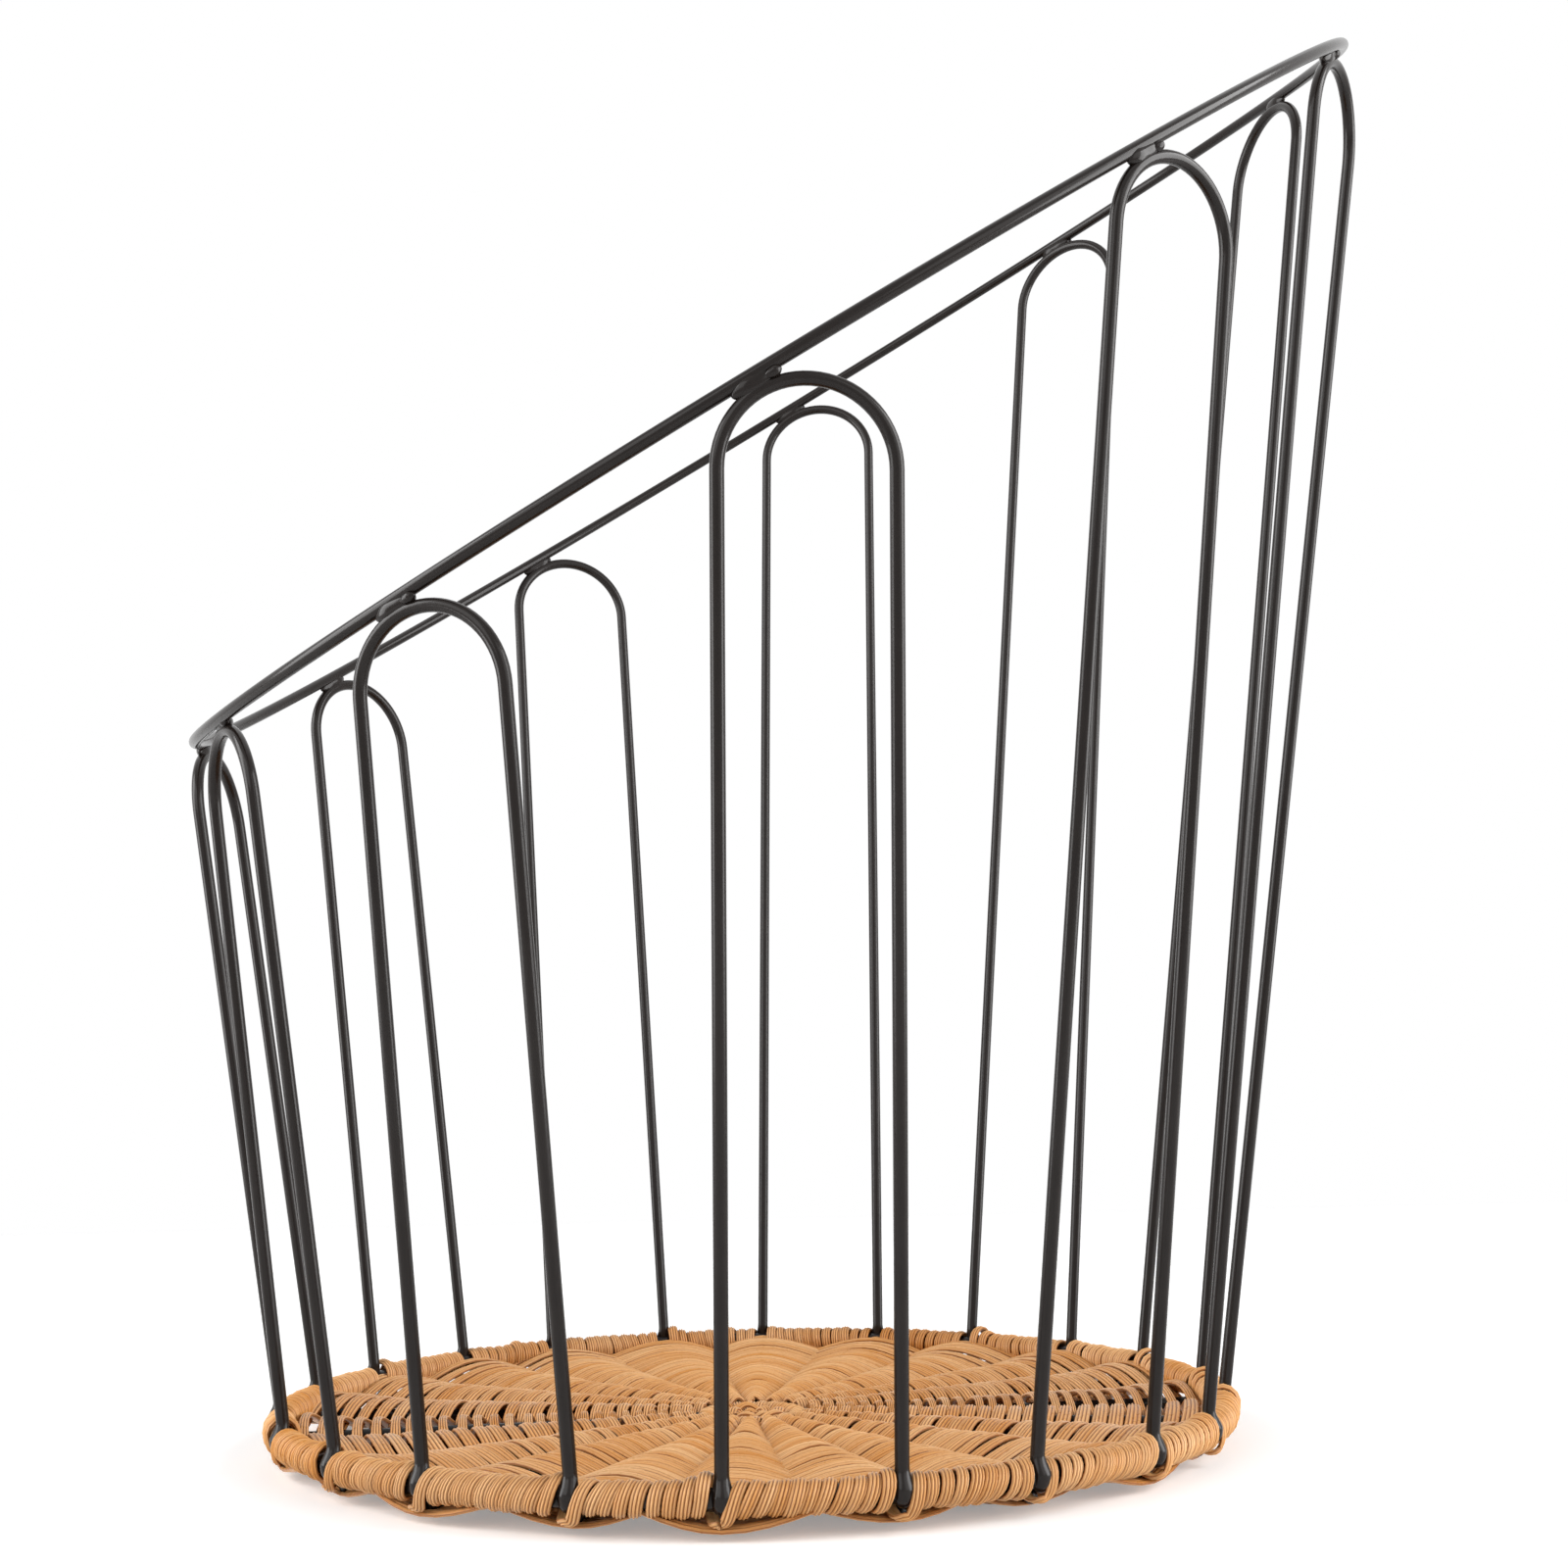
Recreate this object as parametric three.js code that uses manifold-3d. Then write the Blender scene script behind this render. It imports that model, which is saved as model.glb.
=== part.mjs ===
// Slant-mouthed wire basket on a round woven base.
// Millimetres and degrees, +Z up, with the base centre on the floor at the origin.
import * as THREE from 'three';
import { mergeVertices } from 'three/addons/utils/BufferGeometryUtils.js';
import Module from 'manifold-3d';

// Driving dimensions of the wire cage
const ARCH_COUNT = 11;
const FIRST_ARCH_AZIMUTH = -83.6;
const ARCH_LEAN = 8.1;
const BOW_RADIUS = 15.4;
const ARCH_WIRE_DIAMETER = 2.6;
const TOP_RING_WIRE_DIAMETER = 2.6;
const MOUTH_HEIGHT = 227.35;
const MOUTH_SLOPE = 33.6;
const MOUTH_AZIMUTH = 25.3;
const WELD_BEAD_DIAMETER = 4.6;
const FOOT_FLARE_DIAMETER = 3.6;
const FOOT_FLARE_HEIGHT = 2.8;

// Driving dimensions of the base frame
const BASE_RING_RADIUS = 100;
const BASE_RING_WIRE_DIAMETER = 4;
const HUB_RING_RADIUS = 10;
const SPOKE_WIRE_DIAMETER = 2.6;
const SPOKE_END_INSET = 1;

// Driving dimensions of the strip work
const STRIP_THICKNESS = 0.9;
const STRIP_SLACK = 0.75;
const WEAVE_ROW_PITCH = 6.4;
const WEAVE_ROW_GAP = 0.5;
const WEAVE_INNER_RADIUS = 18;
const WEAVE_RIM_MARGIN = 0.5;
const WEAVE_FLAT_LENGTH = 2.8;
const BINDING_WIDTH = 3;
const BINDING_TURNS_PER_BAY = 3;
const BINDING_STEP = 2.55;
const BINDING_CLEARANCE = 0.5;
const BINDING_PASS_ANGLE = -30;
const KNOT_TOP_DROP = 0.8;

// Gap left between pieces that seat on each other
const SEAT_GAP = 0.3;

// Facets round a wire and along the round stretches
const WIRE_SIDES = 8;
const BOW_STEPS = 10;
const TOP_RING_STEPS = 60;
const BASE_RING_STEPS = 66;
const HUB_STEPS = 22;
const BEAD_SIDES = 7;
const BEAD_RINGS = 4;

// Sizes that follow from the driving dimensions
const archWireRadius = ARCH_WIRE_DIAMETER / 2;
const topRingWireRadius = TOP_RING_WIRE_DIAMETER / 2;
const ringWireRadius = BASE_RING_WIRE_DIAMETER / 2;
const spokeRadius = SPOKE_WIRE_DIAMETER / 2;
const spokeHeight = STRIP_THICKNESS + SEAT_GAP + STRIP_SLACK + spokeRadius;
const ringHeight = spokeHeight + spokeRadius + SEAT_GAP + ringWireRadius;
const lean = THREE.MathUtils.degToRad(ARCH_LEAN);
const footRadius = Math.sqrt(BASE_RING_RADIUS ** 2 - BOW_RADIUS ** 2);
const footHalfAngle = Math.asin(BOW_RADIUS / BASE_RING_RADIUS);
const facetRadius = (radius) => radius / Math.cos(Math.PI / WIRE_SIDES);
const bindingRadius = facetRadius(ringWireRadius) + BINDING_CLEARANCE + STRIP_THICKNESS / 2;
const weaveOuterRadius = BASE_RING_RADIUS - bindingRadius - STRIP_THICKNESS / 2 - WEAVE_RIM_MARGIN;

const archAzimuths = Array.from(
  { length: ARCH_COUNT },
  (_, index) => THREE.MathUtils.degToRad(FIRST_ARCH_AZIMUTH) + (index * 2 * Math.PI) / ARCH_COUNT,
);
const legAzimuths = archAzimuths.flatMap((azimuth) => [azimuth - footHalfAngle, azimuth + footHalfAngle]);

const wasm = await Module();
wasm.setup();

// Finishes
const blackCoat = () => new THREE.MeshStandardMaterial({ color: 0x232324, roughness: 0.42, metalness: 0.35 });
const honeyStrip = () => new THREE.MeshStandardMaterial({ color: 0xcd9857, roughness: 0.5, metalness: 0 });

/** Unit vector pointing outward from the axis at an azimuth. */
const outward = (azimuth) => new THREE.Vector3(Math.cos(azimuth), Math.sin(azimuth), 0);

/** Unit vector pointing along the rim, counter-clockwise, at an azimuth. */
const along = (azimuth) => new THREE.Vector3(-Math.sin(azimuth), Math.cos(azimuth), 0);

/** Round wire section as [across, up] pairs, with flats at the wire's true radius. */
function wireSection(radius) {
  const section = [];
  for (let side = 0; side < WIRE_SIDES; side += 1) {
    const turn = ((side + 0.5) * 2 * Math.PI) / WIRE_SIDES;
    section.push([facetRadius(radius) * Math.cos(turn), facetRadius(radius) * Math.sin(turn)]);
  }
  return section;
}

/** Closed body through a row of equal point rings, capped at both ends or joined end to start. */
function loft(rings, joined) {
  const sides = rings[0].length;
  const count = rings.length;
  const positions = rings.flat().flatMap((point) => [point.x, point.y, point.z]);
  const triangles = [];
  for (let ring = 0; ring < (joined ? count : count - 1); ring += 1) {
    const next = (ring + 1) % count;
    for (let side = 0; side < sides; side += 1) {
      const turn = (side + 1) % sides;
      triangles.push(ring * sides + side, ring * sides + turn, next * sides + turn);
      triangles.push(ring * sides + side, next * sides + turn, next * sides + side);
    }
  }
  for (let side = 1; !joined && side < sides - 1; side += 1) {
    const last = (count - 1) * sides;
    triangles.push(0, side + 1, side);
    triangles.push(last, last + side, last + side + 1);
  }
  const geometry = new THREE.BufferGeometry();
  geometry.setAttribute('position', new THREE.Float32BufferAttribute(positions, 3));
  geometry.setIndex(triangles);
  return geometry;
}

/** Ring of section points round a centre, in the plane of two unit vectors. */
function ringOfPoints(centre, across, up, section) {
  return section.map(([a, b]) => centre.clone().addScaledVector(across, a).addScaledVector(up, b));
}

/** Wire bent along points that lie in one plane, mitred at each bend, of a set radius at each point. */
function planarWire(points, planeNormal, radiusAt, joined) {
  const count = points.length;
  const rings = points.map((point, index) => {
    const before = joined || index > 0 ? points[(index + count - 1) % count] : point;
    const after = joined || index < count - 1 ? points[(index + 1) % count] : point;
    const arriving = point.clone().sub(before).normalize();
    const leaving = after.clone().sub(point).normalize();
    const tangent = arriving.clone().add(leaving).normalize();
    const across = planeNormal.clone().cross(tangent);
    const reference = leaving.lengthSq() > 0 ? leaving : arriving;
    across.divideScalar(tangent.dot(reference));
    return ringOfPoints(point, across, planeNormal, wireSection(radiusAt(index)));
  });
  return loft(rings, joined);
}

/** Solid for joining and cutting, made from a closed geometry. */
function toSolid(geometry) {
  const bare = geometry.clone();
  bare.deleteAttribute('normal');
  bare.deleteAttribute('uv');
  const merged = mergeVertices(bare, 1e-4);
  return new wasm.Manifold(
    new wasm.Mesh({
      numProp: 3,
      vertProperties: new Float32Array(merged.attributes.position.array),
      triVerts: new Uint32Array(merged.index.array),
    }),
  );
}

/** Geometry of a joined or cut solid. */
function toGeometry(solid) {
  const mesh = solid.getMesh();
  const geometry = new THREE.BufferGeometry();
  geometry.setAttribute('position', new THREE.BufferAttribute(new Float32Array(mesh.vertProperties), 3));
  geometry.setIndex(new THREE.BufferAttribute(new Uint32Array(mesh.triVerts), 1));
  return geometry;
}

/** Round ring of wire about the Z axis. */
function wireRing(radius, wireRadius, height, steps) {
  const profile = wireSection(wireRadius).map(([a, b]) => new THREE.Vector2(radius + a, b));
  profile.push(profile[0].clone());
  const geometry = new THREE.LatheGeometry(profile, steps);
  geometry.rotateX(Math.PI / 2);
  geometry.translate(0, 0, height);
  return geometry;
}

// The mouth: a plane that cuts the cone of the leaning arches in an ellipse
const mouthAzimuth = THREE.MathUtils.degToRad(MOUTH_AZIMUTH);
const mouthRise = Math.tan(THREE.MathUtils.degToRad(MOUTH_SLOPE));
const mouthNormal = outward(mouthAzimuth).multiplyScalar(-mouthRise).setZ(1).normalize();
const mouthPlane = new THREE.Plane().setFromNormalAndCoplanarPoint(
  mouthNormal,
  new THREE.Vector3(0, 0, MOUTH_HEIGHT),
);

/** Point of the top ring's centre line at an azimuth. */
function mouthPoint(azimuth) {
  const up = outward(azimuth).multiplyScalar(Math.tan(lean)).setZ(1);
  const foot = outward(azimuth).multiplyScalar(footRadius).setZ(ringHeight);
  const reach = -mouthPlane.distanceToPoint(foot) / mouthNormal.dot(up);
  return foot.addScaledVector(up, reach);
}

/** Top ring of a chosen wire radius, swept round the mouth. */
function topRing(wireRadius) {
  const points = [];
  for (let step = 0; step < TOP_RING_STEPS; step += 1) {
    points.push(mouthPoint((step * 2 * Math.PI) / TOP_RING_STEPS));
  }
  return planarWire(points, mouthNormal, () => wireRadius, true);
}

/** Hairpin arch: two legs and a round bow in one leaning plane, with its weld bead and flared feet. */
function arch(azimuth, topRingClearance, baseRingClearance) {
  const across = along(azimuth);
  const up = outward(azimuth).multiplyScalar(Math.sin(lean)).setZ(Math.cos(lean));
  const planeNormal = across.clone().cross(up);
  const foot = outward(azimuth).multiplyScalar(footRadius).setZ(ringHeight);
  const place = (a, b) => foot.clone().addScaledVector(across, a).addScaledVector(up, b);

  // The bow touches the mouth plane from below, so its centre lies one reach under that plane
  const fallAcross = mouthNormal.dot(across);
  const fallUp = mouthNormal.dot(up);
  const tilt = Math.hypot(fallAcross, fallUp);
  const bowReach = BOW_RADIUS + archWireRadius + SEAT_GAP + topRingWireRadius;
  const legLength = (-mouthPlane.distanceToPoint(foot) - bowReach * tilt) / fallUp;

  // Each leg starts inside the base ring's clearance, which later cuts its flared foot to a saddle
  const flareHeights = [0, ringWireRadius + SEAT_GAP, ringWireRadius + FOOT_FLARE_HEIGHT];
  const points = flareHeights.map((height) => place(BOW_RADIUS, height));
  for (let step = 0; step <= BOW_STEPS; step += 1) {
    const turn = (step * Math.PI) / BOW_STEPS;
    points.push(place(BOW_RADIUS * Math.cos(turn), legLength + BOW_RADIUS * Math.sin(turn)));
  }
  points.push(...flareHeights.toReversed().map((height) => place(-BOW_RADIUS, height)));
  const last = points.length - 1;
  const radiusAt = (index) => (index < 2 || index > last - 2 ? FOOT_FLARE_DIAMETER / 2 : archWireRadius);
  const wire = toSolid(planarWire(points, planeNormal, radiusAt, false));

  const touch = BOW_RADIUS + archWireRadius;
  const bead = new THREE.SphereGeometry(WELD_BEAD_DIAMETER / 2, BEAD_SIDES, BEAD_RINGS);
  bead.translate(...place((touch * fallAcross) / tilt, legLength + (touch * fallUp) / tilt));
  const solid = wire.add(toSolid(bead));
  return toGeometry(solid.subtract(topRingClearance).subtract(baseRingClearance));
}

/** Straight spoke from the hub ring to its seat under the base ring. */
function spoke(azimuth) {
  const start = HUB_RING_RADIUS + spokeRadius + SEAT_GAP;
  const end = BASE_RING_RADIUS - SPOKE_END_INSET;
  const section = wireSection(spokeRadius);
  const up = new THREE.Vector3(0, 0, 1);
  const ringAt = (radius) =>
    ringOfPoints(outward(azimuth).multiplyScalar(radius).setZ(spokeHeight), along(azimuth), up, section);
  return loft([ringAt(start), ringAt(end)], false);
}

/** Offset that keeps a strip's thickness true where two stretches meet, as [run, rise]. */
function mitre(before, point, after) {
  const normalOf = ([s0, z0], [s1, z1]) => {
    const length = Math.hypot(s1 - s0, z1 - z0);
    return [-(z1 - z0) / length, (s1 - s0) / length];
  };
  const first = normalOf(before ?? point, before ? point : after);
  const second = normalOf(after ? point : before, after ?? point);
  const share = 1 + first[0] * second[0] + first[1] * second[1];
  return [(first[0] + second[0]) / share, (first[1] + second[1]) / share];
}

/** Weaving strip: a spiral that passes over every second spoke and under the ones between. */
function weavingStrip(startAzimuth, overParity) {
  const growth = (2 * WEAVE_ROW_PITCH) / (2 * Math.PI);
  const halfWidth = (WEAVE_ROW_PITCH - WEAVE_ROW_GAP) / 2;
  const low = STRIP_THICKNESS / 2;
  const high = 2 * spokeHeight - low;
  const stations = [];
  const spokes = legAzimuths.length;
  for (let crossing = 0; ; crossing += 1) {
    const lap = Math.floor(crossing / spokes);
    const azimuth = legAzimuths[crossing % spokes] + lap * 2 * Math.PI;
    const radius = WEAVE_INNER_RADIUS + growth * (azimuth - startAzimuth);
    if (radius + halfWidth > weaveOuterRadius) break;
    if (azimuth < startAzimuth) continue;
    const height = crossing % 2 === overParity ? high : low;
    for (const side of [-WEAVE_FLAT_LENGTH / 2, WEAVE_FLAT_LENGTH / 2]) {
      stations.push({ azimuth: azimuth + side / radius, radius, height });
    }
  }
  const rings = stations.map((station, index) => {
    const flat = (other) => other && [(other.azimuth - station.azimuth) * station.radius, other.height];
    const [run, rise] = mitre(flat(stations[index - 1]), flat(station), flat(stations[index + 1]));
    const corner = (side, face) => {
      const azimuth = station.azimuth + (face * run * STRIP_THICKNESS) / 2 / station.radius;
      const height = station.height + (face * rise * STRIP_THICKNESS) / 2;
      return outward(azimuth).multiplyScalar(station.radius + side * halfWidth).setZ(height);
    };
    return [corner(-1, -1), corner(-1, 1), corner(1, 1), corner(1, -1)];
  });
  return loft(rings, false);
}

/** Centre line of the rim binding over one bay between two legs, passing outside the leg at each end. */
class BindingBay extends THREE.Curve {
  constructor(startAzimuth, endAzimuth) {
    super();
    this.startAzimuth = startAzimuth;
    this.endAzimuth = endAzimuth;
  }

  /** Azimuth and turn round the ring wire at t: the turns are close in mid bay and run out at the legs. */
  angles(t) {
    const eased = t - Math.sin(2 * Math.PI * t) / (2 * Math.PI);
    return {
      azimuth: THREE.MathUtils.lerp(this.startAzimuth, this.endAzimuth, t),
      turn: THREE.MathUtils.degToRad(BINDING_PASS_ANGLE) + 2 * Math.PI * BINDING_TURNS_PER_BAY * eased,
    };
  }

  getPoint(t, target = new THREE.Vector3()) {
    const { azimuth, turn } = this.angles(t);
    const radius = BASE_RING_RADIUS + bindingRadius * Math.cos(turn);
    const height = ringHeight + bindingRadius * Math.sin(turn);
    return target.copy(outward(azimuth)).multiplyScalar(radius).setZ(height);
  }
}

/** Rim binding: one unbroken strip wound round the base ring, bay after bay. */
function rimBinding() {
  const centres = [];
  const count = legAzimuths.length;
  for (let bay = 0; bay < count - 1; bay += 1) {
    const route = new BindingBay(legAzimuths[bay], legAzimuths[bay + 1]);
    const steps = Math.round(route.getLength() / BINDING_STEP);
    centres.push(...route.getSpacedPoints(steps).slice(bay === 0 ? 0 : 1));
  }
  const closing = new BindingBay(legAzimuths[count - 1], legAzimuths[0] + 2 * Math.PI);
  const closingSteps = Math.round(closing.getLength() / BINDING_STEP);
  centres.push(...closing.getSpacedPoints(closingSteps).slice(1, -2));

  const rings = centres.map((centre, index) => {
    const core = centre.clone().setZ(0).setLength(BASE_RING_RADIUS).setZ(ringHeight);
    const facing = centre.clone().sub(core).normalize();
    const before = centres[Math.max(index - 1, 0)];
    const after = centres[Math.min(index + 1, centres.length - 1)];
    const across = facing.clone().cross(after.clone().sub(before)).normalize();
    const [w, h] = [BINDING_WIDTH / 2, STRIP_THICKNESS / 2];
    return ringOfPoints(centre, across, facing, [[-w, -h], [w, -h], [w, h], [-w, h]]);
  });
  console.log(`rim binding: least gap to itself ${leastGap(rings).toFixed(2)} mm`);
  return loft(rings, false);
}

/** Least distance between points of a winding that are more than half a turn apart along it. */
function leastGap(rings) {
  const halfTurn = Math.round((Math.PI * bindingRadius) / BINDING_STEP);
  const turn = 2 * halfTurn;
  let least = Infinity;
  rings.forEach((ring, index) => {
    for (let other = index + halfTurn; other <= Math.min(index + 2 * turn, rings.length - 1); other += 1) {
      for (const near of ring) {
        for (const far of rings[other]) least = Math.min(least, near.distanceTo(far));
      }
    }
  });
  return least;
}

/** Knot of crossed strip ends that fills the hub ring, flat where it meets the floor. */
function centreKnot() {
  const rim = HUB_RING_RADIUS - spokeRadius - SEAT_GAP;
  const profile = [
    new THREE.Vector2(0, 0),
    new THREE.Vector2(rim - STRIP_THICKNESS, 0),
    new THREE.Vector2(rim, STRIP_THICKNESS),
    new THREE.Vector2(rim, 2 * spokeHeight - STRIP_THICKNESS - KNOT_TOP_DROP),
    new THREE.Vector2(rim - STRIP_THICKNESS, 2 * spokeHeight - KNOT_TOP_DROP),
    new THREE.Vector2(0, 2 * spokeHeight),
  ];
  return new THREE.LatheGeometry(profile, HUB_STEPS).rotateX(Math.PI / 2);
}

const basket = new THREE.Group();

/** Adds one named piece to the basket. */
function addPiece(name, geometry, material) {
  const piece = new THREE.Mesh(geometry, material);
  piece.name = name;
  basket.add(piece);
}

const numbered = (name, index) => `${name}_${String(index + 1).padStart(2, '0')}`;
const baseRing = (wireRadius) => wireRing(BASE_RING_RADIUS, wireRadius, ringHeight, BASE_RING_STEPS);
const topRingClearance = toSolid(topRing(topRingWireRadius + SEAT_GAP));
const baseRingClearance = toSolid(baseRing(ringWireRadius + SEAT_GAP));

addPiece('top_ring', topRing(topRingWireRadius), blackCoat());
addPiece('base_ring', baseRing(ringWireRadius), blackCoat());
addPiece('hub_ring', wireRing(HUB_RING_RADIUS, spokeRadius, spokeHeight, HUB_STEPS), blackCoat());
archAzimuths.forEach((azimuth, index) => {
  addPiece(numbered('arch', index), arch(azimuth, topRingClearance, baseRingClearance), blackCoat());
});
legAzimuths.forEach((azimuth, index) => {
  addPiece(numbered('spoke', index), spoke(azimuth), blackCoat());
});
addPiece('weave_strip_a', weavingStrip(legAzimuths[0], 0), honeyStrip());
addPiece('weave_strip_b', weavingStrip(legAzimuths[0] + Math.PI, 1), honeyStrip());
addPiece('centre_knot', centreKnot(), honeyStrip());
addPiece('rim_binding', rimBinding(), honeyStrip());

export default basket;
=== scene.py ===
"""Looks of the slant-mouthed wire basket: coated wire cage, woven strip base and bound rim.

The sizes of the pieces are in millimetres and degrees, and their meshes in metres. +Z is up and the
base centre lies on the floor at the origin.
"""

import logging
import math
from dataclasses import dataclass, field
from enum import Enum

import bpy
import numpy as np
from mathutils import Matrix


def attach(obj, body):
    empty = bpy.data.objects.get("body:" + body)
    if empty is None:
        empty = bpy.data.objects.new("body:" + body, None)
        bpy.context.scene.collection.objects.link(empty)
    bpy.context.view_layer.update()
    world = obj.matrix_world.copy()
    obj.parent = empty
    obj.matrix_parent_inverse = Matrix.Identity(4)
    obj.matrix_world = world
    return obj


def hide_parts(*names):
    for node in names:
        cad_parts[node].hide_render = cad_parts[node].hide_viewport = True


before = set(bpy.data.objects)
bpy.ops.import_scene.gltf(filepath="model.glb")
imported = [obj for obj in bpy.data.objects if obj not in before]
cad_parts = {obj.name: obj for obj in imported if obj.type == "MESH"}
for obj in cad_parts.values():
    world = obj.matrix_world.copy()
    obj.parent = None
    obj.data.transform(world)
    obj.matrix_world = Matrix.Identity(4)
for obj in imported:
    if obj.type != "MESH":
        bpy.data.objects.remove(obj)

Array = np.ndarray
Colour = tuple[float, float, float, float]
LOG = logging.getLogger("basket")
MM = 0.001
UP = np.array([0.0, 0.0, 1.0])
WHITE: Colour = (1.0, 1.0, 1.0, 1.0)
BODY = "root"


class Slot(Enum):
    """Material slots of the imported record."""

    COAT = "black_coat"
    STRIP = "honey_strip"


class Light(Enum):
    """Lamps of the studio, each as place, width and height in metres and power in watts."""

    KEY = ((-0.70, -0.95, 0.78), 0.9, 0.9, 5.5)
    FILL = ((0.85, -0.90, 0.62), 0.9, 0.9, 3.7)
    TOP = ((0.05, 0.25, 1.4), 1.1, 1.1, 1.2)
    LEFT = ((-1.08, -0.22, 0.45), 0.70, 1.1, 15.5)
    RIGHT = ((1.08, -0.22, 0.45), 0.70, 1.1, 17.5)


def outward(azimuth: Array) -> Array:
    """Unit vectors pointing away from the axis, (cos a, sin a, 0)."""
    return np.stack([np.cos(azimuth), np.sin(azimuth), np.zeros_like(azimuth)], -1)


def along(azimuth: Array) -> Array:
    """Unit vectors pointing counter-clockwise along the rim, (-sin a, cos a, 0)."""
    return np.stack([-np.sin(azimuth), np.cos(azimuth), np.zeros_like(azimuth)], -1)


def unit(vectors: Array) -> Array:
    """Vectors scaled to length 1 along the last axis."""
    return vectors / np.linalg.norm(vectors, axis=-1, keepdims=True)


def smooth_step(low: float, high: float, value: Array) -> Array:
    """Smooth rise from 0 at low to 1 at high, 3t^2 - 2t^3."""
    t = np.clip((value - low) / (high - low), 0.0, 1.0)
    return t * t * (3.0 - 2.0 * t)


def bell(distance: Array, spread: float) -> Array:
    """Bell curve of a distance, exp(-(d / S)^2)."""
    return np.exp(-((distance / spread) ** 2))


def wander(rng: np.random.Generator, position: Array, spacing: float = 1.0) -> Array:
    """Smooth seeded noise of one variable between -1 and 1.

    One random knot stands every spacing, and a cosine ease joins each knot to the next.

    Args:
        rng: Seeded source of the knots.
        position: Places where the noise is read, all of them 0 or more.
        spacing: Distance between knots.

    Returns:
        Noise values in the shape of position.
    """
    knots = rng.uniform(-1.0, 1.0, int(position.max() / spacing) + 3)
    place = position / spacing
    index = np.floor(place).astype(int)
    ease = 0.5 - 0.5 * np.cos(np.pi * (place - index))
    return knots[index] * (1.0 - ease) + knots[index + 1] * ease


@dataclass(frozen=True)
class Wandering:
    """Small seeded change of a value along a strip: its size and the spacing of its knots."""

    size: float
    spacing: float = 1.0

    def at(self, rng: np.random.Generator, position: Array) -> Array:
        """Change at each position: size times smooth noise."""
        return self.size * wander(rng, position, self.spacing)


@dataclass(frozen=True)
class Tone:
    """Tone along a strip, 0 pale to 1 deep: a mean with slow and quick changes."""

    mean: float
    changes: tuple[Wandering, ...]

    def at(self, rng: np.random.Generator, position: Array) -> Array:
        """Tone at each position: the mean plus every change."""
        return sum((change.at(rng, position) for change in self.changes), self.mean)


class MeshBuilder:
    """Collects swept grids of points, in millimetres, into one mesh."""

    def __init__(self) -> None:
        """Starts with no points and no faces."""
        self.points: list[Array] = []
        self.faces: list[Array] = []
        self.values: dict[str, list[Array]] = {}
        self.count = 0

    def add_grid(
        self, grid: Array, joined: bool = False, values: dict[str, Array] | None = None
    ) -> None:
        """Adds a skin over rings of points, closed round each ring.

        Quad (i, j) joins rings i and i + 1 at sides j and j + 1. An open skin gets a fan of
        triangles round the middle of its first and last ring.

        Args:
            grid: Points as (rings, sides, 3), counter-clockwise seen against the travel.
            joined: True if the last ring meets the first.
            values: Float attributes as (rings, sides) arrays by name.
        """
        rings, sides, _ = grid.shape
        ring = np.arange(rings if joined else rings - 1)[:, None] * sides
        after = (ring + sides) % (rings * sides)
        side = np.arange(sides)[None, :]
        turn = (side + 1) % sides
        quads = np.stack([ring + side, ring + turn, after + turn, after + side], -1)
        faces = quads.reshape(-1, 4) + self.count
        points = [grid.reshape(-1, 3)]
        if not joined:
            points.append(np.stack([grid[0].mean(0), grid[-1].mean(0)]))
            low = self.count + np.arange(sides)
            high = low + (rings - 1) * sides
            hub = np.full(sides, self.count + rings * sides)
            none = np.full(sides, -1)
            first = np.stack([np.roll(low, -1), low, hub, none], -1)
            last = np.stack([high, np.roll(high, -1), hub + 1, none], -1)
            faces = np.concatenate([faces, first, last])
        for name, value in (values or {}).items():
            flat = value.reshape(-1)
            if not joined:
                flat = np.concatenate([flat, [value[0].mean(), value[-1].mean()]])
            self.values.setdefault(name, []).append(flat)
        self.points.append(np.concatenate(points))
        self.faces.append(faces)
        self.count += sum(len(block) for block in points)

    def build(self, name: str) -> bpy.types.Object:
        """Makes the smooth-shaded object.

        Args:
            name: Name of the object and its mesh.

        Returns:
            The object, linked to the scene.
        """
        points = np.concatenate(self.points) * MM
        faces = np.concatenate(self.faces)
        sizes = np.where(faces[:, 3] < 0, 3, 4)
        loops = faces[faces >= 0]
        mesh = bpy.data.meshes.new(name)
        mesh.vertices.add(len(points))
        mesh.vertices.foreach_set("co", points.astype(np.float32).ravel())
        mesh.loops.add(len(loops))
        mesh.loops.foreach_set("vertex_index", loops.astype(np.int32))
        mesh.polygons.add(len(faces))
        starts = np.concatenate([[0], np.cumsum(sizes)[:-1]])
        mesh.polygons.foreach_set("loop_start", starts.astype(np.int32))
        mesh.update(calc_edges=True)
        mesh.validate()
        mesh.polygons.foreach_set("use_smooth", np.ones(len(mesh.polygons), bool))
        for label, blocks in self.values.items():
            layer = mesh.attributes.new(label, "FLOAT", "POINT")
            layer.data.foreach_set("value", np.concatenate(blocks).astype(np.float32))
        piece = bpy.data.objects.new(name, mesh)
        bpy.context.scene.collection.objects.link(piece)
        return piece


def settle(
    piece: bpy.types.Object, material: bpy.types.Material, slot: Slot, *nodes: str
) -> None:
    """Gives a piece its finish and its body, and hides the CAD nodes that it stands for.

    Args:
        piece: The new object.
        material: Its finish.
        slot: Not used.
        nodes: Names of the CAD nodes that it replaces.
    """
    piece.data.materials.append(material)
    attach(piece, BODY)
    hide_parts(*nodes)
    LOG.info("%s: %d faces, stands for %s", piece.name, len(piece.data.polygons), nodes)


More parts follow.
